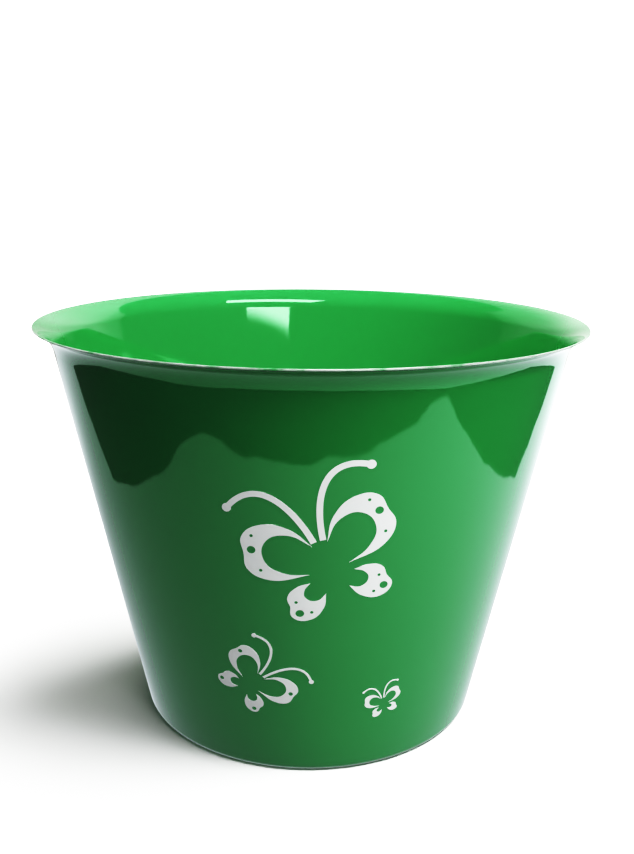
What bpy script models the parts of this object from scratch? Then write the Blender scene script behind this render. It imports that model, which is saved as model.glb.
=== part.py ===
"""Florist bucket: a one-piece vessel of thin sheet with a flared lip, and three butterfly motifs
cut from thin white film and stuck on the front of its wall.

Run with: blender --background --python part.py
Units are metres. The origin is the centre of the resting plane, +Z is up and the front faces -Y.
"""

import math

import bmesh
import bpy
from mathutils import Matrix, Vector
from mathutils.geometry import interpolate_bezier

# The vessel.
HEIGHT = 0.222
RIM_RADIUS = 0.150
SHEET = 0.001
WALL_LEAN = math.radians(12.0)  # from the vertical
FLARE_RADIUS = 0.0157  # of the curve that turns the wall out to the lip
LIP_ANGLE = math.radians(71.0)  # of the lip's edge, from the vertical
CORNER_RADIUS = 0.005  # between wall and base, outside
FOOT_WIDTH = 0.012  # of the ring that the bucket stands on
PANEL_RISE = 0.0025  # of the middle of the base above that ring
STEP_WIDTH = 0.003  # from the ring to the raised panel
STEP_RADIUS = 0.0015
SEGMENTS = 72
FLARE_STEPS = 6
CORNER_STEPS = 4
STEP_STEPS = 2

# The film.
FILM = 0.0002
FILM_GAP = 0.00015  # between wall and film
FILM_FACET = 0.008  # widest flat strip of a film piece around the wall
CURVE_STEPS = 4
HOLE_STEPS = 10

# Right half of one butterfly, in millimetres at scale 1. The head points to +Y, and the midpoint
# of the lower forewing tips is the origin. A "tip" is a sharp point, a "bend" is a smooth one.
FOREWING = (
    (3.6, 13.8, "tip"),
    (10.5, 25.5, "bend"),
    (22.5, 31.5, "bend"),
    (32.5, 28.0, "bend"),
    (34.5, 19.5, "tip"),
    (35.8, 11.0, "bend"),
    (28.0, 2.6, "bend"),
    (9.4, -0.4, "tip"),
    (20.5, 4.2, "bend"),
    (26.6, 13.0, "bend"),
    (22.5, 22.6, "bend"),
    (12.5, 22.8, "bend"),
)
HINDWING = (
    (10.6, -4.8, "tip"),
    (17.0, -4.9, "bend"),
    (23.2, -9.0, "bend"),
    (23.6, -14.2, "tip"),
    (24.6, -20.2, "bend"),
    (17.5, -24.2, "bend"),
    (9.2, -20.0, "bend"),
    (5.6, -12.6, "tip"),
    (10.8, -15.0, "bend"),
    (15.2, -12.0, "bend"),
    (14.4, -7.8, "bend"),
)
ANTENNA = ((2.2, 15.2), (4.6, 34.0), (14.0, 57.0), (33.8, 43.8))
ANTENNA_STEPS = 12
KNOB_RADIUS = 2.2
KNOB_STEPS = 10
FOREWING_HOLES = ((30.4, 20.2, 2.0), (27.8, 27.2, 0.8), (29.9, 8.6, 0.8))
HINDWING_HOLES = ((20.6, -19.2, 2.0), (20.2, -12.8, 0.8), (15.2, -20.4, 0.8))

# Each motif: angle around the wall from the front, height, scale, turn of its head to the left,
# half the width of its antennae at scale 1, and how many of the wing holes it has.
MOTIFS = {
    "large": (math.radians(4.2), 0.1235, 1.02, math.radians(20.0), 1.45, 3),
    "medium": (math.radians(-15.6), 0.0542, 0.555, math.radians(-45.0), 1.15, 1),
    "small": (math.radians(21.4), 0.0400, 0.275, math.radians(14.0), 1.3, 0),
}


def clear_scene():
    for obj in list(bpy.data.objects):
        bpy.data.objects.remove(obj, do_unlink=True)


def material(name, color, roughness, metallic=0.0):
    made = bpy.data.materials.new(name)
    made.use_nodes = True
    shader = made.node_tree.nodes["Principled BSDF"]
    shader.inputs["Base Color"].default_value = (*color, 1.0)
    shader.inputs["Roughness"].default_value = roughness
    shader.inputs["Metallic"].default_value = metallic
    return made


def add_object(name, mesh, finish):
    mesh.materials.append(finish)
    made = bpy.data.objects.new(name, mesh)
    bpy.context.scene.collection.objects.link(made)
    return made


def lip_point():
    """(radius, height) of the lip's edge on the outer face of the sheet."""
    return Vector((RIM_RADIUS, HEIGHT - SHEET * math.sin(LIP_ANGLE)))


def flare_point(angle):
    """(radius, height) where the outer face leans this far from the vertical."""
    def from_centre(lean):
        return FLARE_RADIUS * Vector((-math.cos(lean), math.sin(lean)))

    return lip_point() - from_centre(LIP_ANGLE) + from_centre(angle)


def wall_radius(height):
    """Outer radius of the straight wall."""
    top = flare_point(WALL_LEAN)
    return top.x - (top.y - height) * math.tan(WALL_LEAN)


def fillet(before, corner, after, radius, steps):
    """Points of the arc that rounds a corner of the profile."""
    back = (before - corner).normalized()
    ahead = (after - corner).normalized()
    half = back.angle(ahead) / 2
    centre = corner + (back + ahead).normalized() * (radius / math.sin(half))
    start = corner + back * (radius / math.tan(half)) - centre
    turn = back.angle_signed(-ahead)
    return [centre + Matrix.Rotation(-turn * i / steps, 2) @ start for i in range(steps + 1)]


def outer_profile():
    """(radius, height) points of the outer face, from the lip down to the middle of the base."""
    leans = [LIP_ANGLE + (WALL_LEAN - LIP_ANGLE) * i / FLARE_STEPS for i in range(FLARE_STEPS + 1)]
    flare = [flare_point(lean) for lean in leans]
    foot_outside = Vector((wall_radius(0.0), 0.0))
    foot_inside = Vector((foot_outside.x - CORNER_RADIUS - FOOT_WIDTH, 0.0))
    panel_edge = Vector((foot_inside.x - STEP_WIDTH, PANEL_RISE))
    middle = Vector((0.0, PANEL_RISE))
    corner = fillet(flare[-1], foot_outside, foot_inside, CORNER_RADIUS, CORNER_STEPS)
    step_up = fillet(foot_outside, foot_inside, panel_edge, STEP_RADIUS, STEP_STEPS)
    step_in = fillet(foot_inside, panel_edge, middle, STEP_RADIUS, STEP_STEPS)
    return flare + corner + step_up + step_in + [middle]


def add_vessel(finish):
    """The outer face is turned from its profile, and the sheet gets its thickness inwards."""
    mesh = bpy.data.meshes.new("bucket_body")
    points = [(point.x, 0.0, point.y) for point in outer_profile()]
    mesh.from_pydata(points, [(i, i + 1) for i in range(len(points) - 1)], [])
    vessel = add_object("bucket_body", mesh, finish)
    turn = vessel.modifiers.new("Turn", "SCREW")
    turn.steps = SEGMENTS
    turn.render_steps = SEGMENTS
    turn.use_merge_vertices = True
    turn.merge_threshold = 0.0001
    turn.use_smooth_shade = True
    sheet = vessel.modifiers.new("Sheet", "SOLIDIFY")
    sheet.thickness = SHEET
    sheet.offset = -1.0
    sheet.use_even_offset = True
    sheet.use_quality_normals = True
    return vessel


def add_outline(curve, points, side, scale):
    """One closed outline. side is 1 for the right half of the butterfly and -1 for the left."""
    spline = curve.splines.new("BEZIER")
    spline.use_cyclic_u = True
    spline.resolution_u = CURVE_STEPS
    spline.bezier_points.add(len(points) - 1)
    for knot, (x, y, kind) in zip(spline.bezier_points, points):
        knot.co = (side * x * scale, y * scale, 0.0)
        handle = "VECTOR" if kind == "tip" else "AUTO"
        knot.handle_left_type = handle
        knot.handle_right_type = handle


def add_polygon(curve, points):
    spline = curve.splines.new("POLY")
    spline.use_cyclic_u = True
    spline.points.add(len(points) - 1)
    for corner, (x, y) in zip(spline.points, points):
        corner.co = (x, y, 0.0, 1.0)


def ring(centre, radius, first, last, steps):
    """Points on an arc about centre, between two angles."""
    angles = [first + (last - first) * i / steps for i in range(steps + 1)]
    return [centre + radius * Vector((math.cos(angle), math.sin(angle))) for angle in angles]


def antenna_outline(side, scale, half_width):
    """Both edges of a curved stroke, with a round knob at its far end."""
    controls = [Vector((side * x, y, 0.0)) * scale for x, y in ANTENNA]
    line = [point.to_2d() for point in interpolate_bezier(*controls, ANTENNA_STEPS + 1)]
    end = line.pop()
    aims = [(b - a).normalized() for a, b in zip(line, line[1:] + [end])]
    width = half_width * scale
    left = [point + width * Vector((-aim.y, aim.x)) for point, aim in zip(line, aims)]
    right = [point - width * Vector((-aim.y, aim.x)) for point, aim in zip(line, aims)]
    knob = KNOB_RADIUS * scale
    opening = math.asin(width / knob)
    back = math.atan2(-aims[-1].y, -aims[-1].x)
    head = ring(end, knob, back + opening, back + math.tau - opening, KNOB_STEPS)
    return left[::-1] + right + head


def flat_piece(name, draw):
    """Mesh of a filled drawing, split into strips narrow enough to follow the wall."""
    curve = bpy.data.curves.new(name, "CURVE")
    curve.dimensions = "2D"
    curve.fill_mode = "BOTH"
    draw(curve)
    guide = bpy.data.objects.new(name + "_guide", curve)
    mesh = bpy.data.meshes.new_from_object(guide)
    bpy.data.objects.remove(guide)
    return mesh


def split_in_strips(shape):
    """Cuts a flat shape along vertical lines."""
    reach = max(abs(vertex.co.x) for vertex in shape.verts)
    lines = int(reach / FILM_FACET)
    for i in range(-lines, lines + 1):
        everything = shape.verts[:] + shape.edges[:] + shape.faces[:]
        bmesh.ops.bisect_plane(
            shape, geom=everything, dist=1e-6, plane_co=(i * FILM_FACET, 0, 0), plane_no=(1, 0, 0)
        )


def wrap_on_wall(shape, around, height):
    """Lays a flat shape on the cone of the wall, just clear of it."""
    normal_out = math.cos(WALL_LEAN)
    normal_up = -math.sin(WALL_LEAN)
    for vertex in shape.verts:
        z = height + vertex.co.y * math.cos(WALL_LEAN)
        radius = wall_radius(z)
        angle = around + vertex.co.x / radius
        radius += FILM_GAP * normal_out
        vertex.co = (radius * math.sin(angle), -radius * math.cos(angle), z + FILM_GAP * normal_up)


def add_film(name, draw, motif, finish):
    around, height, _, turn, _, _ = MOTIFS[motif]
    mesh = flat_piece(name, draw)
    shape = bmesh.new()
    shape.from_mesh(mesh)
    bmesh.ops.remove_doubles(shape, verts=shape.verts, dist=1e-6)
    bmesh.ops.scale(shape, vec=(0.001, 0.001, 0.001), verts=shape.verts)
    bmesh.ops.rotate(shape, matrix=Matrix.Rotation(turn, 3, "Z"), verts=shape.verts)
    split_in_strips(shape)
    bmesh.ops.triangulate(shape, faces=shape.faces)
    wrap_on_wall(shape, around, height)
    shape.to_mesh(mesh)
    shape.free()
    piece = add_object(name, mesh, finish)
    film = piece.modifiers.new("Film", "SOLIDIFY")
    film.thickness = FILM
    film.offset = 1.0


def add_butterfly(motif, finish):
    """Six separate pieces of film: two antennae, two forewings and two hindwings."""
    scale, half_width, holes = MOTIFS[motif][2], MOTIFS[motif][4], MOTIFS[motif][5]

    def wing_drawing(outline, hole_list, side):
        def draw(curve):
            add_outline(curve, outline, side, scale)
            for x, y, radius in hole_list[:holes]:
                centre = Vector((side * x, y)) * scale
                add_polygon(curve, ring(centre, radius * scale, 0, math.tau, HOLE_STEPS)[1:])

        return draw

    for side_name, side in (("left", -1), ("right", 1)):
        forewing = wing_drawing(FOREWING, FOREWING_HOLES, side)
        hindwing = wing_drawing(HINDWING, HINDWING_HOLES, side)
        add_film(f"{motif}_forewing_{side_name}", forewing, motif, finish)
        add_film(f"{motif}_hindwing_{side_name}", hindwing, motif, finish)

        def antenna(curve, side=side):
            add_polygon(curve, antenna_outline(side, scale, half_width))

        add_film(f"{motif}_antenna_{side_name}", antenna, motif, finish)


def main():
    clear_scene()
    green = material("green_lacquer", (0.02, 0.36, 0.06), 0.12, 0.4)
    white = material("white_film", (0.86, 0.87, 0.88), 0.35)
    add_vessel(green)
    for motif in MOTIFS:
        add_butterfly(motif, white)


main()
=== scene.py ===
# %% [markdown]
# # A glossy green flower bucket with butterfly film
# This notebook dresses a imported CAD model. The CAD says how big everything is and where it goes.
# Here each piece is modelled again with its fine surface, painted, set on a table and lit.
# Everything is in metres: +Z is up, the front faces -Y, and the bucket stands at the origin.

# %% Load the fixed frame
import math

import bpy
from mathutils import Matrix, Quaternion, Vector
from mathutils.geometry import interpolate_bezier


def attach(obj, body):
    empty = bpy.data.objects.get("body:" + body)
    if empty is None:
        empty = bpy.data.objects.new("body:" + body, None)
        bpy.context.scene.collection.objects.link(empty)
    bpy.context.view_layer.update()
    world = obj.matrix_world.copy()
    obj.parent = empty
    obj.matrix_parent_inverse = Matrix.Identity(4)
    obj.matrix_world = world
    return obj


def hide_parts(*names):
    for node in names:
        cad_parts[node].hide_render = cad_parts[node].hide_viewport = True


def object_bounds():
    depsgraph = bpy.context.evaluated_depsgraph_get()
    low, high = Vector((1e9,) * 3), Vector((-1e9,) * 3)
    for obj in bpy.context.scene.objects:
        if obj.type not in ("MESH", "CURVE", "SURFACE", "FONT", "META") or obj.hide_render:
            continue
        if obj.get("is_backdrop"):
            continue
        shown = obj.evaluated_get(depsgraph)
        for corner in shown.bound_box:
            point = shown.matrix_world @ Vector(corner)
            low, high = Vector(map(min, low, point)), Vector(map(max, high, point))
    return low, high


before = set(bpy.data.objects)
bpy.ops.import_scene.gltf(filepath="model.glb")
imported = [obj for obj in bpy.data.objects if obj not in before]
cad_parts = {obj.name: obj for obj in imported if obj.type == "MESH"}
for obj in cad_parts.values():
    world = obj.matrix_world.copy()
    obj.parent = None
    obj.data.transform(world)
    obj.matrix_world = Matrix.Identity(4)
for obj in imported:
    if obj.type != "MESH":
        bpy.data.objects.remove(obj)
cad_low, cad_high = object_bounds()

print(f"{len(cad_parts)} CAD nodes, box {tuple(cad_high - cad_low)}")

# %% [markdown]
# ## Camera
# The camera stands a good half metre in front of the bucket, a little above its rim, and looks
# down into it. It could be aimed with a Track To constraint, but a rotation worked out once is
# simpler. A hand-held camera is never quite level, so it is also turned half a degree.

# %% Place the camera
EYE = Vector((0.0, -0.5314, 0.2954))
AIM = Vector((0.0035, 0.0, 0.1594))
LENS_MM = 40.4
CAMERA_TILT = 0.0094

bpy.ops.object.camera_add(location=EYE)
camera = bpy.context.object
camera.rotation_mode = "QUATERNION"
camera.rotation_quaternion = (AIM - EYE).to_track_quat("-Z", "Y") @ Quaternion((0, 0, 1), CAMERA_TILT)
camera.data.lens = LENS_MM
camera.data.clip_start = 0.01
bpy.context.scene.camera = camera
print(f"camera {(AIM - EYE).length:.3f} m from its aim, lens {LENS_MM} mm")

# %% [markdown]
# ## Driving sizes
# The vessel is thin sheet, pressed to a straight cone with a lip that flares out in one arc. Its
# rim radius and height are read from the CAD box, and the rest are the numbers the shape is
# drawn from, so that the smooth surface lies exactly on the faceted one.

# %% Name the sizes
RIM_RADIUS = cad_high.x
HEIGHT = round(cad_high.z, 4)
SHEET = 0.001
WALL_LEAN = math.radians(12.0)
FLARE_RADIUS = 0.0157
LIP_ANGLE = math.radians(71.0)
CORNER_RADIUS = 0.005
FOOT_WIDTH = 0.012
PANEL_RISE = 0.0025
STEP_WIDTH = 0.003
STEP_RADIUS = 0.0015


def flare_point(lean):
    """(radius, height) of the outer face where it leans this far from the vertical."""
    centre_radius = RIM_RADIUS + FLARE_RADIUS * math.cos(LIP_ANGLE)
    centre_height = HEIGHT - (SHEET + FLARE_RADIUS) * math.sin(LIP_ANGLE)
    return Vector((
        centre_radius - FLARE_RADIUS * math.cos(lean),
        centre_height + FLARE_RADIUS * math.sin(lean),
    ))


FLARE_START = flare_point(WALL_LEAN)


def wall_radius(height):
    """Outer radius of the straight wall."""
    return FLARE_START.x - (FLARE_START.y - height) * math.tan(WALL_LEAN)


RIM_MM, HEIGHT_MM, BASE_MM = RIM_RADIUS * 2000, HEIGHT * 1000, wall_radius(0) * 2000
print(f"rim {RIM_MM:.0f} mm, height {HEIGHT_MM:.0f} mm, base {BASE_MM:.0f} mm across")

# %% [markdown]
# ## Small helpers
# An operator works on whatever is selected, and the imported nodes arrive selected. So every
# piece starts with a clean selection, and ends by riding on the one body, "root".

# %% Helpers for selecting and finishing
def start_fresh():
    if bpy.context.object and bpy.context.object.mode != "OBJECT":
        bpy.ops.object.mode_set(mode="OBJECT")
    bpy.ops.object.select_all(action="DESELECT")


def use_only(obj):
    start_fresh()
    obj.select_set(True)
    bpy.context.view_layer.objects.active = obj


def select_edges(obj, wanted):
    """Selects the edges whose two ends both pass the test, and leaves the piece in edit mode."""
    use_only(obj)
    bpy.ops.object.mode_set(mode="EDIT")
    bpy.ops.mesh.select_mode(type="EDGE")
    bpy.ops.mesh.select_all(action="DESELECT")
    bpy.ops.object.mode_set(mode="OBJECT")
    for edge in obj.data.edges:
        edge.select = all(wanted(obj.data.vertices[i].co) for i in edge.vertices)
    found = sum(edge.select for edge in obj.data.edges)
    bpy.ops.object.mode_set(mode="EDIT")
    return found


def apply_modifiers(obj):
    use_only(obj)
    for modifier in list(obj.modifiers):
        bpy.ops.object.modifier_apply(modifier=modifier.name)


def settle(obj, name, slot, *nodes):
    """Names a finished piece, puts its place into its mesh and hands it to the frame."""
    use_only(obj)
    bpy.ops.object.transform_apply(location=True, rotation=True, scale=True)
    obj.name = name
    obj.data.name = name
    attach(obj, "root")
    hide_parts(*nodes)


print("helpers ready")

# %% [markdown]
# ## The vessel
# The real vessel is one piece of sheet metal, drawn or spun over a form until it is round to a
# fraction of a millimetre. It could be a Screw modifier on a profile. Here it is made as by hand:
# a ring at the lip is extruded and resized, ring after ring, down the outer face. A Solidify
# modifier gives the sheet its thickness inwards, and a bevel rounds the cut edge of the lip.

# %% Draw the outer profile
def fillet(before, corner, after, radius, steps):
    """Points of the arc that rounds a corner of the profile."""
    back = (before - corner).normalized()
    ahead = (after - corner).normalized()
    half = back.angle(ahead) / 2
    centre = corner + (back + ahead).normalized() * (radius / math.sin(half))
    spoke = corner + back * (radius / math.tan(half)) - centre
    turn = back.angle_signed(-ahead)
    return [centre + Matrix.Rotation(-turn * i / steps, 2) @ spoke for i in range(steps + 1)]


def outer_profile(flare_steps=22, wall_steps=14, corner_steps=12, step_steps=6, panel_steps=5):
    """(radius, height) points from the lip down and in to a small ring on the base."""
    leans = [LIP_ANGLE + (WALL_LEAN - LIP_ANGLE) * i / flare_steps for i in range(flare_steps + 1)]
    flare = [flare_point(lean) for lean in leans]
    foot_outside = Vector((wall_radius(0), 0))
    foot_inside = Vector((foot_outside.x - CORNER_RADIUS - FOOT_WIDTH, 0))
    panel_edge = Vector((foot_inside.x - STEP_WIDTH, PANEL_RISE))
    middle = Vector((0, PANEL_RISE))
    corner = fillet(flare[-1], foot_outside, foot_inside, CORNER_RADIUS, corner_steps)
    wall = [flare[-1].lerp(corner[0], i / wall_steps) for i in range(1, wall_steps)]
    step_up = fillet(foot_outside, foot_inside, panel_edge, STEP_RADIUS, step_steps)
    step_in = fillet(foot_inside, panel_edge, middle, STEP_RADIUS, step_steps)
    panel = [step_in[-1].lerp(middle, i / (panel_steps + 1)) for i in range(1, panel_steps + 1)]
    return flare + wall + corner + step_up + step_in + panel


profile = outer_profile()
print(f"{len(profile)} rings from the lip to the middle of the base")

# %% Extrude the vessel ring by ring
ROUND = 288
start_fresh()
bpy.ops.mesh.primitive_circle_add(
    vertices=ROUND, radius=profile[0].x, fill_type="NOTHING", location=(0, 0, profile[0].y)
)
vessel = bpy.context.object
bpy.ops.object.transform_apply(location=True)
bpy.ops.object.mode_set(mode="EDIT")
for here, there in zip(profile, profile[1:]):
    bpy.ops.mesh.extrude_region_move(TRANSFORM_OT_translate={"value": (0, 0, there.y - here.y)})
    share = there.x / here.x
    bpy.ops.transform.resize(value=(share, share, 1), center_override=(0, 0, there.y))
bpy.ops.mesh.extrude_region_move(TRANSFORM_OT_translate={"value": (0, 0, 0)})
bpy.ops.mesh.merge(type="CENTER")
bpy.ops.mesh.select_all(action="SELECT")
bpy.ops.mesh.remove_doubles(threshold=0.000001)
bpy.ops.mesh.normals_make_consistent(inside=False)
bpy.ops.object.mode_set(mode="OBJECT")
widest = max(vessel.data.polygons, key=lambda face: face.center.z)
if widest.normal.z > 0:
    vessel.data.flip_normals()
print(f"outer skin {len(vessel.data.polygons)} faces, lip faces point {widest.normal.z:+.2f} in z")

# %% Give the sheet its thickness and round the lip
LIP_ROUNDING = 0.00042

sheet = vessel.modifiers.new("Sheet", "SOLIDIFY")
sheet.thickness = SHEET
sheet.offset = -1
sheet.use_even_offset = True
apply_modifiers(vessel)
lip_edges = select_edges(vessel, lambda point: point.to_2d().length > RIM_RADIUS - LIP_ROUNDING)
bpy.ops.mesh.bevel(offset=LIP_ROUNDING, segments=4, profile=0.5, affect="EDGES")
bpy.ops.object.mode_set(mode="OBJECT")
vessel.data.polygons.foreach_set("use_smooth", [True] * len(vessel.data.polygons))
settle(vessel, "vessel", "green_lacquer", "bucket_body")
print(f"{lip_edges} lip edges rounded, {len(vessel.data.polygons)} faces")

# %% [markdown]
# ## The butterflies
# Each butterfly is six islands of white film: two antennae, two forewings and two hindwings. A
# plotter cuts such film along smooth curves, so each island starts as a flat Bezier outline. Its
# holes are circles inside the outline. The drawing is in millimetres with the head up, and only
# the right half is drawn: the left half is the same with x turned round.

# %% Name the points of the drawing
FOREWING = (
    (3.6, 13.8, "tip"), (10.5, 25.5, "bend"), (22.5, 31.5, "bend"), (32.5, 28.0, "bend"),
    (34.5, 19.5, "tip"), (35.8, 11.0, "bend"), (28.0, 2.6, "bend"), (9.4, -0.4, "tip"),
    (20.5, 4.2, "bend"), (26.6, 13.0, "bend"), (22.5, 22.6, "bend"), (12.5, 22.8, "bend"),
)
HINDWING = (
    (10.6, -4.8, "tip"), (17.0, -4.9, "bend"), (23.2, -9.0, "bend"), (23.6, -14.2, "tip"),
    (24.6, -20.2, "bend"), (17.5, -24.2, "bend"), (9.2, -20.0, "bend"), (5.6, -12.6, "tip"),
    (10.8, -15.0, "bend"), (15.2, -12.0, "bend"), (14.4, -7.8, "bend"),
)
FOREWING_HOLES = ((30.4, 20.2, 2.0), (27.8, 27.2, 0.8), (29.9, 8.6, 0.8))
HINDWING_HOLES = ((20.6, -19.2, 2.0), (20.2, -12.8, 0.8), (15.2, -20.4, 0.8))
ANTENNA = ((2.2, 15.2), (4.6, 34.0), (14.0, 57.0), (33.8, 43.8))
KNOB_RADIUS = 2.2

# angle around the wall, height, scale, turn of the head to the left, half width of an antenna,
# number of holes in a wing
MOTIFS = {
    "large": (math.radians(4.2), 0.1235, 1.02, math.radians(20.0), 1.45, 3),
    "medium": (math.radians(-15.6), 0.0542, 0.555, math.radians(-45.0), 1.15, 1),
    "small": (math.radians(21.4), 0.0400, 0.275, math.radians(14.0), 1.3, 0),
}
print(f"{len(MOTIFS)} butterflies of 6 islands")

# %% Draw an island as a flat filled curve
CURVE_STEPS = 14


def new_drawing():
    """An empty flat curve that fills itself."""
    start_fresh()
    bpy.ops.curve.primitive_bezier_circle_add(radius=1)
    drawing = bpy.context.object
    drawing.data.splines.clear()
    drawing.data.dimensions = "2D"
    drawing.data.fill_mode = "BOTH"
    drawing.data.resolution_u = CURVE_STEPS
    return drawing


def add_outline(drawing, points, side, scale):
    spline = drawing.data.splines.new("BEZIER")
    spline.use_cyclic_u = True
    spline.resolution_u = CURVE_STEPS
    spline.bezier_points.add(len(points) - 1)
    for knot, (x, y, kind) in zip(spline.bezier_points, points):
        knot.co = (side * x * scale, y * scale, 0)
        knot.handle_left_type = "VECTOR" if kind == "tip" else "AUTO"
        knot.handle_right_type = knot.handle_left_type


def add_hole(drawing, x, y, radius):
    use_only(drawing)
    bpy.ops.object.mode_set(mode="EDIT")
    bpy.ops.curve.select_all(action="DESELECT")
    bpy.ops.curve.primitive_bezier_circle_add(radius=radius, location=(x, y, 0))
    bpy.ops.object.mode_set(mode="OBJECT")


def add_antenna(drawing, side, scale, half_width, steps=40, knob_steps=24):
    """Both edges of a curved stroke, with a round knob at its far end."""
    controls = [Vector((side * x, y, 0)) * scale for x, y in ANTENNA]
    line = [point.to_2d() for point in interpolate_bezier(*controls, steps + 1)]
    end = line.pop()
    aims = [(b - a).normalized() for a, b in zip(line, line[1:] + [end])]
    width = half_width * scale
    knob = KNOB_RADIUS * scale
    left = [point + width * Vector((-aim.y, aim.x)) for point, aim in zip(line, aims)]
    right = [point - width * Vector((-aim.y, aim.x)) for point, aim in zip(line, aims)]
    back = math.atan2(-aims[-1].y, -aims[-1].x)
    opening = math.asin(width / knob)
    sweep = math.tau - 2 * opening
    angles = [back + opening + sweep * i / knob_steps for i in range(knob_steps + 1)]
    head = [end + knob * Vector((math.cos(angle), math.sin(angle))) for angle in angles]
    kept_right = [point for point in right if (point - end).length > knob]
    kept_left = [point for point in left if (point - end).length > knob]
    spline = drawing.data.splines.new("POLY")
    spline.use_cyclic_u = True
    outline = kept_left[::-1] + kept_right + head
    spline.points.add(len(outline) - 1)
    for corner, point in zip(spline.points, outline):
        corner.co = (point.x, point.y, 0, 1)


print("an island can be drawn")

# %% [markdown]
# ## Sticking the film on
# Film bends only one way at a time, so it lies flat on a cone without a wrinkle. The flat island
# is cut into narrow strips, so that it can bend, and each of its points is then laid on the cone:
# sideways becomes an angle round the axis, and upwards becomes a way up the slope. Solidify adds
# the thickness of such film, a little over a tenth of a millimetre.

# %% Lay an island on the wall
FILM = 0.00012
FILM_GAP = 0.00002
FILM_STRIP = 0.0015
WELD_MM = 0.0005
MM = 0.001


def lay_on_wall(mesh, around, height):
    for vertex in mesh.vertices:
        z = height + vertex.co.y * math.cos(WALL_LEAN)
        radius = wall_radius(z)
        angle = around + vertex.co.x / radius
        out = radius + FILM_GAP * math.cos(WALL_LEAN)
        vertex.co = (out * math.sin(angle), -out * math.cos(angle), z - FILM_GAP * math.sin(WALL_LEAN))


def film_from(drawing, name, motif):
    around, height, _, turn, _, _ = MOTIFS[motif]
    use_only(drawing)
    bpy.ops.object.convert(target="MESH")
    piece = bpy.context.object
    bpy.ops.object.mode_set(mode="EDIT")
    bpy.ops.mesh.select_all(action="SELECT")
    bpy.ops.mesh.remove_doubles(threshold=WELD_MM)
    bpy.ops.transform.resize(value=(MM, MM, MM), center_override=(0, 0, 0))
    bpy.ops.object.mode_set(mode="OBJECT")
    piece.data.transform(Matrix.Rotation(turn, 4, "Z"))
    reach = max(abs(vertex.co.x) for vertex in piece.data.vertices)
    bpy.ops.object.mode_set(mode="EDIT")
    for i in range(-int(reach / FILM_STRIP), int(reach / FILM_STRIP) + 1):
        bpy.ops.mesh.select_all(action="SELECT")
        bpy.ops.mesh.bisect(plane_co=(i * FILM_STRIP, 0, 0), plane_no=(1, 0, 0), threshold=0.000001)
    bpy.ops.object.mode_set(mode="OBJECT")
    lay_on_wall(piece.data, around, height)
    thickness = piece.modifiers.new("Film", "SOLIDIFY")
    thickness.thickness = FILM
    thickness.offset = 1
    apply_modifiers(piece)
    settle(piece, name + "_film", "white_film", name)
    return piece


# %% Cut and stick all the islands
films = []
for motif, (_, _, scale, _, half_width, holes) in MOTIFS.items():
    for side_name, side in (("left", -1), ("right", 1)):
        for part, outline, hole_list in (
            ("forewing", FOREWING, FOREWING_HOLES),
            ("hindwing", HINDWING, HINDWING_HOLES),
        ):
            drawing = new_drawing()
            add_outline(drawing, outline, side, scale)
            for x, y, radius in hole_list[:holes]:
                add_hole(drawing, side * x * scale, y * scale, radius * scale)
            films.append(film_from(drawing, f"{motif}_{part}_{side_name}", motif))
        drawing = new_drawing()
        add_antenna(drawing, side, scale, half_width)
        films.append(film_from(drawing, f"{motif}_antenna_{side_name}", motif))
print(f"{len(films)} islands, {sum(len(film.data.polygons) for film in films)} faces")

# %% [markdown]
# ## Node tools
# Materials are built in code as small chains of nodes. One short function adds a node and sets
# its values, so that each material below reads like a list of what the finish is made of. Two
# more do arithmetic, and draw a soft edge, in whichever node tree is being built.

# %% A helper that adds a node
def add_node(tree, kind, inputs=None, **settings):
    node = tree.nodes.new(kind)
    for name, value in settings.items():
        setattr(node, name, value)
    for key, value in (inputs or {}).items():
        if isinstance(value, bpy.types.NodeSocket):
            tree.links.new(value, node.inputs[key])
        else:
            node.inputs[key].default_value = value
    return node


def new_material(name):
    made = bpy.data.materials.new(name)
    made.use_nodes = True
    return made, made.node_tree, made.node_tree.nodes["Principled BSDF"]


def calc(operation, a, b=0.0, c=0.0):
    """A Math node in the tree that is being built: one line of arithmetic."""
    return add_node(tree, "ShaderNodeMath", {0: a, 1: b, 2: c}, operation=operation).outputs[0]


def step_up(value, edge, width):
    """0 well below the edge, 1 well above it, and smooth between."""
    limits = {"Value": value, "From Min": edge - width / 2, "From Max": edge + width / 2}
    ramp = add_node(tree, "ShaderNodeMapRange", limits, interpolation_type="SMOOTHSTEP")
    return ramp.outputs["Result"]


print("node helpers ready")

# %% [markdown]
# ## Relief of a coated surface
# No sheet is perfectly even. Pressing leaves long shallow waves, and a sprayed lacquer dries with
# the fine dimples that painters call orange peel. Both show only in how reflections bend. They
# are one node group, because the film shows the sheet under it as well.

# %% Build the relief group
WAVE_SCALE = 22.0
WAVE_HEIGHT = 0.00002
PEEL_HEIGHT = 0.000001
PEEL_SCALE = 700.0


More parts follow.
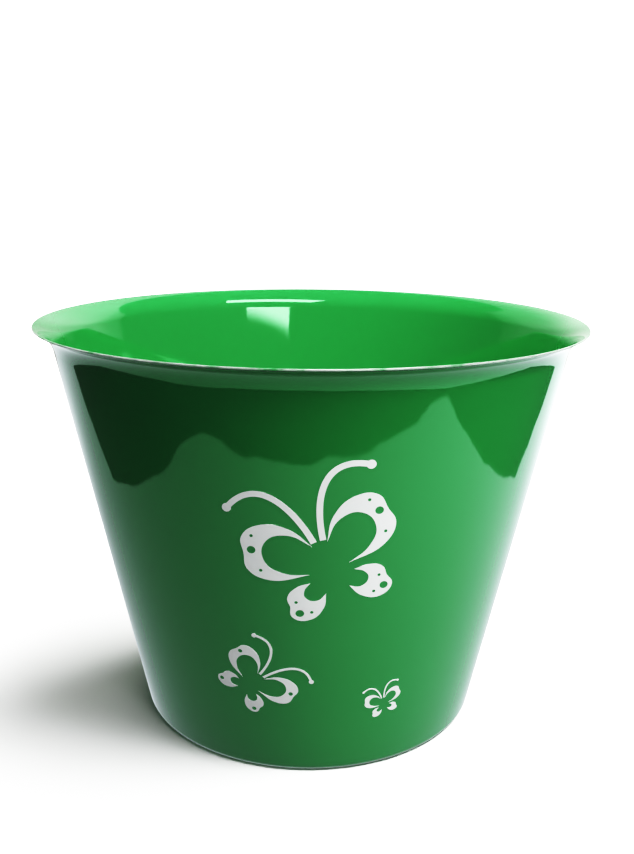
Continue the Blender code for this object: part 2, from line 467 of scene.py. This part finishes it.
def relief_group():
    tree = bpy.data.node_groups.new("coated_relief", "ShaderNodeTree")
    defaults = {"Wave height": WAVE_HEIGHT, "Peel height": PEEL_HEIGHT, "Peel scale": PEEL_SCALE}
    for name, value in defaults.items():
        socket = tree.interface.new_socket(name, in_out="INPUT", socket_type="NodeSocketFloat")
        socket.default_value = value
    tree.interface.new_socket("Height", in_out="OUTPUT", socket_type="NodeSocketFloat")
    given = tree.nodes.new("NodeGroupInput").outputs
    place = add_node(tree, "ShaderNodeTexCoord").outputs["Object"]
    layers = ((WAVE_SCALE, given["Wave height"]), (given["Peel scale"], given["Peel height"]))
    heights = []
    for scale, height in layers:
        noise = add_node(tree, "ShaderNodeTexNoise", {"Vector": place, "Scale": scale, "Detail": 1.0})
        sized = {0: noise.outputs["Fac"], 1: height}
        heights.append(add_node(tree, "ShaderNodeMath", sized, operation="MULTIPLY").outputs[0])
    total = add_node(tree, "ShaderNodeMath", {0: heights[0], 1: heights[1]})
    add_node(tree, "NodeGroupOutput", {"Height": total.outputs[0]})
    return tree


coated_relief = relief_group()
print(f"group {coated_relief.name} with {len(coated_relief.nodes)} nodes")

# %% [markdown]
# ## Green lacquer
# The colour is a deep, clean green under a clear gloss. A gloss lacquer is a Principled surface
# with a low roughness: the mirror image of the table in it comes from the light, not from paint.
# The tone drifts a little, as sprayed colour does, and handling leaves faint dull patches. On the
# outermost half millimetre of the lip the lacquer is rubbed through here and there.

# %% Mix the lacquer
GREEN = (0.038, 0.270, 0.078, 1.0)
GREEN_DEEP = (0.033, 0.252, 0.070, 1.0)
LACQUER_IOR = 1.52
METALLIC_DEPTH = 0.18
LACQUER_WAVES = 0.00004
GLOSS_ROUGHNESS = 0.03
DULL_ROUGHNESS = 0.075
HANDLING_SCALE = 35.0
HANDLING_RANGE = (0.45, 0.75)
BARE_EDGE = (0.42, 0.47, 0.43, 1.0)
LIP_WEAR = 0.0005
RUBBING_SCALE = 90.0
RUBBING_RANGE = (0.42, 0.3)

lacquer, tree, shader = new_material("green_gloss_lacquer")
place = add_node(tree, "ShaderNodeTexCoord").outputs["Object"]
drift = add_node(tree, "ShaderNodeTexNoise", {"Vector": place, "Scale": 9.0, "Detail": 3.0})
tone = add_node(tree, "ShaderNodeMix", {"Factor": drift.outputs["Fac"]}, data_type="RGBA")
tone.inputs["A"].default_value = GREEN_DEEP
tone.inputs["B"].default_value = GREEN
handling = add_node(
    tree, "ShaderNodeTexNoise",
    {"Vector": place, "Scale": HANDLING_SCALE, "Detail": 5.0, "Roughness": 0.6},
)
dull = add_node(
    tree, "ShaderNodeMapRange",
    {
        "Value": handling.outputs["Fac"],
        "From Min": HANDLING_RANGE[0], "From Max": HANDLING_RANGE[1],
        "To Min": GLOSS_ROUGHNESS, "To Max": DULL_ROUGHNESS,
    },
)
tree.links.new(dull.outputs["Result"], shader.inputs["Roughness"])
flat = add_node(tree, "ShaderNodeVectorMath", {0: place, 1: (1, 1, 0)}, operation="MULTIPLY")
radius = add_node(tree, "ShaderNodeVectorMath", {0: flat.outputs["Vector"]}, operation="LENGTH")
rubbing = add_node(
    tree, "ShaderNodeTexNoise", {"Vector": place, "Scale": RUBBING_SCALE, "Detail": 3.0}
)
at_lip = step_up(radius.outputs["Value"], RIM_RADIUS - LIP_WEAR, LIP_WEAR)
bare = calc("MULTIPLY", at_lip, step_up(rubbing.outputs["Fac"], *RUBBING_RANGE))
painted = add_node(tree, "ShaderNodeMix", {"Factor": bare}, data_type="RGBA")
tree.links.new(tone.outputs["Result"], painted.inputs["A"])
painted.inputs["B"].default_value = BARE_EDGE
tree.links.new(painted.outputs["Result"], shader.inputs["Base Color"])
relief = add_node(tree, "ShaderNodeGroup", node_tree=coated_relief)
relief.inputs["Wave height"].default_value = LACQUER_WAVES
bump = add_node(
    tree, "ShaderNodeBump",
    {"Height": relief.outputs["Height"], "Distance": 1.0, "Strength": calc("SUBTRACT", 1.0, at_lip)},
)
tree.links.new(bump.outputs["Normal"], shader.inputs["Normal"])
shader.inputs["IOR"].default_value = LACQUER_IOR
shader.inputs["Metallic"].default_value = METALLIC_DEPTH
vessel.data.materials.clear()
vessel.data.materials.append(lacquer)
print(f"material {lacquer.name} with {len(tree.nodes)} nodes")

# %% [markdown]
# ## White film
# Sign-maker's film is white all through, with a satin face. It is not quite even: the white drifts
# by a few percent, and the sheet under it shows through as a slight waviness.

# %% Mix the film
FILM_WHITE = (0.93, 0.95, 0.94, 1.0)
FILM_SHADE = (0.89, 0.915, 0.905, 1.0)
FILM_ROUGHNESS = 0.32
FILM_PEEL_HEIGHT = 0.000004
FILM_PEEL_SCALE = 2200.0

film_white, tree, shader = new_material("white_satin_film")
place = add_node(tree, "ShaderNodeTexCoord").outputs["Object"]
drift = add_node(tree, "ShaderNodeTexNoise", {"Vector": place, "Scale": 60.0, "Detail": 4.0})
tone = add_node(tree, "ShaderNodeMix", {"Factor": drift.outputs["Fac"]}, data_type="RGBA")
tone.inputs["A"].default_value = FILM_SHADE
tone.inputs["B"].default_value = FILM_WHITE
tree.links.new(tone.outputs["Result"], shader.inputs["Base Color"])
shader.inputs["Roughness"].default_value = FILM_ROUGHNESS
relief = add_node(tree, "ShaderNodeGroup", node_tree=coated_relief)
relief.inputs["Peel height"].default_value = FILM_PEEL_HEIGHT
relief.inputs["Peel scale"].default_value = FILM_PEEL_SCALE
bump = add_node(
    tree, "ShaderNodeBump", {"Height": relief.outputs["Height"], "Distance": 1.0, "Strength": 1.0}
)
tree.links.new(bump.outputs["Normal"], shader.inputs["Normal"])
for film in films:
    film.data.materials.clear()
    film.data.materials.append(film_white)
print(f"material {film_white.name} on {len(films)} pieces")

# %% [markdown]
# ## Floor
# The bucket stands on a white sheet that ends within arm's reach in front and at the sides, and
# widens towards the back. Beyond it the studio is dark, and the gloss mirrors that edge as a wavy
# line across the wall. A Light Path node tells the floor which kind of ray has arrived, and the
# floor answers each in its own way. Camera rays find white paper that fades into a bright haze.
# Mirrored rays find a painted reflection: the sheet glows with painted lamp light, brighter to the
# right and towards the back, and beyond its edge a dim glow stands in for the dark room. All other
# rays find a dark grey, painted shade that keeps bounce light off the wall.

# %% Cut the white sheet
FRONT_EDGE = -0.340
FRONT_BOW = 0.67
FRONT_MIDDLE = 0.03
LEFT_EDGE = 0.345
LEFT_SLANT = 0.22
LEFT_WIDENS = (0.06, 0.75)
RIGHT_EDGE = 0.365
RIGHT_WIDENS = (0.11, 0.75)
EDGE_SWAY = 0.014
EDGE_SWAY_SCALE = 11.0
EDGE_SOFTNESS = 0.006
CORNER_ROUNDING = 0.06
BURN_OUT = 0.8
DISTANT_GLOW = 1.6
DISTANCE = (1.0, 0.6)
# BOUNCE is the painted shade of the dark grey floor for bounce rays; the MIRRORED numbers, SHEET_TINT
# and DARK_ROOM set the painted reflection of the sheet and the room.
BOUNCE = 0.07
MIRRORED_LEFT = 0.44
MIRRORED_RIGHT = 1.35
MIRRORED_SPAN = (-0.35, 0.45)
MIRRORED_POWER = 1.8
MIRRORED_BACK = 0.45
MIRRORED_BACK_RISE = (0.35, 0.5)
SHEET_TINT = (1.0, 1.06, 1.14, 1.0)
DARK_ROOM = 0.1

start_fresh()
bpy.ops.mesh.primitive_plane_add(size=8)
floor = bpy.context.object
floor.name = "floor"
floor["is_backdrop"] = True
paper, tree, shader = new_material("white_sheet")
place = add_node(tree, "ShaderNodeTexCoord").outputs["Object"]
axes = add_node(tree, "ShaderNodeSeparateXYZ", {"Vector": place})
across, away = axes.outputs["X"], axes.outputs["Y"]


def widening(start, rate):
    return calc("MULTIPLY", calc("MAXIMUM", calc("SUBTRACT", away, start)), rate)


ripple = add_node(
    tree, "ShaderNodeTexNoise", {"Vector": place, "Scale": EDGE_SWAY_SCALE, "Detail": 2.0}
)
sway = calc("MULTIPLY_ADD", ripple.outputs["Fac"], 2 * EDGE_SWAY, -EDGE_SWAY)
off_middle = calc("SUBTRACT", across, FRONT_MIDDLE)
bow = calc("MULTIPLY", calc("MULTIPLY", off_middle, off_middle), FRONT_BOW)
front_room = calc("SUBTRACT", calc("SUBTRACT", away, bow), FRONT_EDGE)
left_slant = calc("MULTIPLY_ADD", away, LEFT_SLANT, LEFT_EDGE)
left_room = calc("ADD", calc("ADD", left_slant, widening(*LEFT_WIDENS)), across)
right_room = calc("SUBTRACT", calc("ADD", widening(*RIGHT_WIDENS), RIGHT_EDGE), across)
room = calc("SMOOTH_MIN", front_room, left_room, CORNER_ROUNDING)
room = calc("SMOOTH_MIN", room, right_room, CORNER_ROUNDING)
on_sheet = step_up(calc("ADD", room, sway), 0, EDGE_SOFTNESS)
rays = add_node(tree, "ShaderNodeLightPath").outputs
# Painted shade: rays other than camera and mirrored rays find a dark grey floor, so little bounce
# light reaches the wall.
whiteness = add_node(tree, "ShaderNodeMix", {"Factor": rays["Is Camera Ray"]}, data_type="RGBA")
whiteness.inputs["A"].default_value = (BOUNCE, BOUNCE, BOUNCE, 1)
whiteness.inputs["B"].default_value = (BURN_OUT, BURN_OUT, BURN_OUT, 1)
matt = add_node(tree, "ShaderNodeBsdfDiffuse", {"Color": whiteness.outputs["Result"]})
reach = add_node(tree, "ShaderNodeVectorMath", {0: place}, operation="LENGTH").outputs["Value"]
seen = calc("MULTIPLY", step_up(reach, *DISTANCE), rays["Is Camera Ray"])
haze = calc("MULTIPLY", seen, DISTANT_GLOW)
distant = add_node(tree, "ShaderNodeEmission", {"Strength": haze})
direct = add_node(tree, "ShaderNodeAddShader", {0: matt.outputs[0], 1: distant.outputs[0]})
# Painted reflection: mirrored rays see the sheet glow with painted lamp light, brighter to the right
# and towards the back, and a dim glow for the dark room beyond its edge.
crossing = add_node(
    tree, "ShaderNodeMapRange",
    {"Value": across, "From Min": MIRRORED_SPAN[0], "From Max": MIRRORED_SPAN[1]},
).outputs["Result"]
rightward = calc("POWER", crossing, MIRRORED_POWER)
painted_sheet_light = calc("MULTIPLY_ADD", rightward, MIRRORED_RIGHT - MIRRORED_LEFT, MIRRORED_LEFT)
painted_sheet_light = calc("MULTIPLY_ADD", step_up(away, *MIRRORED_BACK_RISE), MIRRORED_BACK, painted_sheet_light)
painted_reflection = calc("MULTIPLY_ADD", painted_sheet_light, on_sheet, DARK_ROOM)
painted_mirror_glow = add_node(tree, "ShaderNodeEmission", {"Strength": painted_reflection, "Color": SHEET_TINT})
surface = add_node(
    tree, "ShaderNodeMixShader",
    {0: rays["Is Glossy Ray"], 1: direct.outputs[0], 2: painted_mirror_glow.outputs[0]},
)
tree.links.new(surface.outputs[0], tree.nodes["Material Output"].inputs["Surface"])
tree.nodes.remove(shader)
floor.data.materials.append(paper)
print(f"white sheet to {-FRONT_EDGE} m in front, {LEFT_EDGE} m left and {RIGHT_EDGE} m right")

# %% [markdown]
# ## Booth
# Behind the bucket stands a paper booth: a back and two side flaps, folded from one strip. It
# stands in for paper that lamps light up, brightest at the back, at the right and high up. The
# gloss mirrors it as the pale bands down both sides of the wall. The camera looks through it.

# %% Fold the booth
BOOTH_HALF_WIDTH = 0.65
BOOTH_FRONT = 0.335
BOOTH_BACK = 0.8
FLAP_HEIGHT_LEFT = 0.81
FLAP_HEIGHT_RIGHT = 0.56
BACK_HEIGHT = 1.15
PAPER_TINT = (1.0, 0.985, 0.95, 1.0)
RIGHT_RISE = (0.1, 1.0)
RIGHT_GAIN = 1.2
BACK_RISE = (0.5, 0.35)
FRONT_SHARE = 0.5
UPPER_RISE = (0.42, 0.16)
LOWER_SHARE = 0.55

start_fresh()
bpy.ops.mesh.primitive_plane_add(size=1)
booth = bpy.context.object
corners = (
    (-BOOTH_HALF_WIDTH, BOOTH_BACK, 0), (BOOTH_HALF_WIDTH, BOOTH_BACK, 0),
    (-BOOTH_HALF_WIDTH, BOOTH_BACK, BACK_HEIGHT), (BOOTH_HALF_WIDTH, BOOTH_BACK, BACK_HEIGHT),
)
for vertex, corner in zip(booth.data.vertices, corners):
    vertex.co = corner
for side, height in ((-1, FLAP_HEIGHT_LEFT), (1, FLAP_HEIGHT_RIGHT)):
    select_edges(booth, lambda point: point.x * side > 0 and point.y > BOOTH_FRONT)
    forward = (0, BOOTH_FRONT - BOOTH_BACK, 0)
    bpy.ops.mesh.extrude_region_move(TRANSFORM_OT_translate={"value": forward})
    bpy.ops.object.mode_set(mode="OBJECT")
    for vertex in booth.data.vertices:
        if vertex.select and vertex.co.z > 0:
            vertex.co.z = height
booth.name = "booth"
booth.visible_camera = False
booth.visible_shadow = False
booth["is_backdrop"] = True
glowing, tree, shader = new_material("lit_booth_paper")
place = add_node(tree, "ShaderNodeTexCoord").outputs["Object"]
axes = add_node(tree, "ShaderNodeSeparateXYZ", {"Vector": place})
across, away, up = axes.outputs["X"], axes.outputs["Y"], axes.outputs["Z"]
to_right = calc("MULTIPLY_ADD", step_up(across, *RIGHT_RISE), RIGHT_GAIN, 1.0)
to_back = calc("MULTIPLY_ADD", step_up(away, *BACK_RISE), 1 - FRONT_SHARE, FRONT_SHARE)
to_top = calc("MULTIPLY_ADD", step_up(up, *UPPER_RISE), 1 - LOWER_SHARE, LOWER_SHARE)
strength = calc("MULTIPLY", calc("MULTIPLY", to_back, to_right), to_top)
glow = add_node(tree, "ShaderNodeEmission", {"Strength": strength, "Color": PAPER_TINT})
tree.links.new(glow.outputs[0], tree.nodes["Material Output"].inputs["Surface"])
tree.nodes.remove(shader)
booth.data.materials.append(glowing)
print(f"booth of {len(booth.data.polygons)} panels, {BACK_HEIGHT} m high")

# %% [markdown]
# ## World and lamps
# The rest of the studio is dark, a little lighter on the right, and white to the camera alone. An
# overhead softbox and a low one leave their pictures in the gloss, and one on the right leaves
# none. The table softbox lights only the table, where it makes the soft shadow on the left. Light
# linking does that, and it also keeps the three fills off the table, as a black card would do in a
# studio. The camera sees no lamp.

# %% Darken the room
ROOM_TINT = (0.94, 0.97, 1.0, 1.0)
ROOM_LIGHT = 0.08
ROOM_RIGHT_GAIN = 0.06
ROOM_RIGHT_RISE = (0.0, 1.6)
WHITE_BEYOND = 1.6

world = bpy.data.worlds.new("studio")
bpy.context.scene.world = world
world.use_nodes = True
tree = world.node_tree
background = tree.nodes["Background"]
background.inputs["Color"].default_value = ROOM_TINT
direction = add_node(tree, "ShaderNodeTexCoord").outputs["Generated"]
axes = add_node(tree, "ShaderNodeSeparateXYZ", {"Vector": direction})
right_side = step_up(axes.outputs["X"], *ROOM_RIGHT_RISE)
room_light = calc("MULTIPLY_ADD", right_side, ROOM_RIGHT_GAIN, ROOM_LIGHT)
by_camera = add_node(tree, "ShaderNodeLightPath").outputs["Is Camera Ray"]
strength = add_node(
    tree, "ShaderNodeMix", {"Factor": by_camera, "A": room_light, "B": WHITE_BEYOND},
    data_type="FLOAT",
)
tree.links.new(strength.outputs["Result"], background.inputs["Strength"])
print("room darkened")

# %% Hang the lamps
LAMPS_AIM = Vector((0, 0, 0.15))
LOW_FADE = (0.2, 0.34)
LOW_GAIN = 1.25


def softbox(name, azimuth, elevation, distance, width, height, watts, roll=0.0):
    """A rectangular lamp that faces the bucket; azimuth 0 is the front, 90 the right."""
    turn, rise = math.radians(azimuth), math.radians(elevation)
    away = Vector((math.sin(turn) * math.cos(rise), -math.cos(turn) * math.cos(rise), math.sin(rise)))
    start_fresh()
    bpy.ops.object.light_add(type="AREA", location=LAMPS_AIM + away * distance)
    lamp = bpy.context.object
    lamp.name = name
    lamp.data.shape = "RECTANGLE"
    lamp.data.size = width
    lamp.data.size_y = height
    lamp.data.energy = watts
    rolled = Quaternion((0, 0, 1), math.radians(roll))
    lamp.rotation_mode = "QUATERNION"
    lamp.rotation_quaternion = (-away).to_track_quat("-Z", "Y") @ rolled
    lamp.visible_camera = False
    return lamp


def light_only(lamp, name, obj, state):
    """INCLUDE lights this object alone, EXCLUDE all but it. Either way the gloss can't see it."""
    linked = bpy.data.collections.new(name)
    linked.objects.link(obj)
    linked.collection_objects[0].light_linking.link_state = state
    lamp.light_linking.receiver_collection = linked
    lamp.visible_glossy = False


# azimuth, elevation, distance, width, height, watts
OVERHEAD = (30, 63, 1.0, 0.62, 0.22, 4.7)
LOW = (24, 21.5, 2.0, 0.78, 0.3, 6)
LOW_ROLL = 4
RIGHT = (50, 60, 1.3, 0.8, 0.8, 3)
TABLE = (100, 69, 1.4, 1.7, 0.8, 130)
FILLS = {
    "left_fill": (-90, 65, 1.2, 0.5, 0.5, 13),
    "near_right_fill": (45, 32, 0.7, 0.3, 0.3, 2.0),
    "right_fill": (60, 40, 1.2, 0.4, 0.4, 6),
}

softbox("overhead_softbox", *OVERHEAD)
low = softbox("low_softbox", *LOW, roll=LOW_ROLL)
low.data.use_nodes = True
tree = low.data.node_tree
place = add_node(tree, "ShaderNodeNewGeometry").outputs["Parametric"]
upward = add_node(tree, "ShaderNodeSeparateXYZ", {"Vector": place}).outputs["Y"]
fade = calc("MULTIPLY", step_up(upward, *LOW_FADE), LOW_GAIN)
tree.links.new(fade, tree.nodes["Emission"].inputs["Strength"])
softbox("right_softbox", *RIGHT).visible_glossy = False
light_only(softbox("table_softbox", *TABLE), "table_only", floor, "INCLUDE")
for name, setting in FILLS.items():
    light_only(softbox(name, *setting), name + "_flag", floor, "EXCLUDE")
lamps = [lamp for lamp in bpy.data.objects if lamp.type == "LIGHT"]
print(f"{len(lamps)} lamps")

# %% [markdown]
# ## Camera response
# A camera darkens deep tones and rolls off bright ones more than a plain conversion does. Colour
# management can do it with one curve on all three channels, applied before the Standard view.

# %% Set the response curve
RESPONSE = (
    (0.0, 0.0), (0.06, 0.026), (0.12, 0.085), (0.2, 0.205), (0.3, 0.37), (0.45, 0.59),
    (0.6, 0.74), (0.8, 0.87), (1.0, 0.95), (1.3, 1.0),
)

view = bpy.context.scene.view_settings
view.view_transform = "Standard"
view.look = "None"
view.use_curve_mapping = True
mapping = view.curve_mapping
mapping.use_clip = True
mapping.clip_max_x = 2.0
mapping.clip_max_y = 1.0
curve = mapping.curves[3]
curve.points[0].location = RESPONSE[0]
curve.points[1].location = RESPONSE[-1]
for point in RESPONSE[1:-1]:
    curve.points.new(*point)
mapping.update()
print(f"response curve with {len(curve.points)} points")

# %% [markdown]
# ## The size
# The dressed bucket should fill the same box as the CAD model. Its box is printed here, beside the CAD
# box printed at the start.

# %% Print the visual box
low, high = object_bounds()
print(f"visual box {[round(v, 4) for v in low]} to {[round(v, 4) for v in high]}")
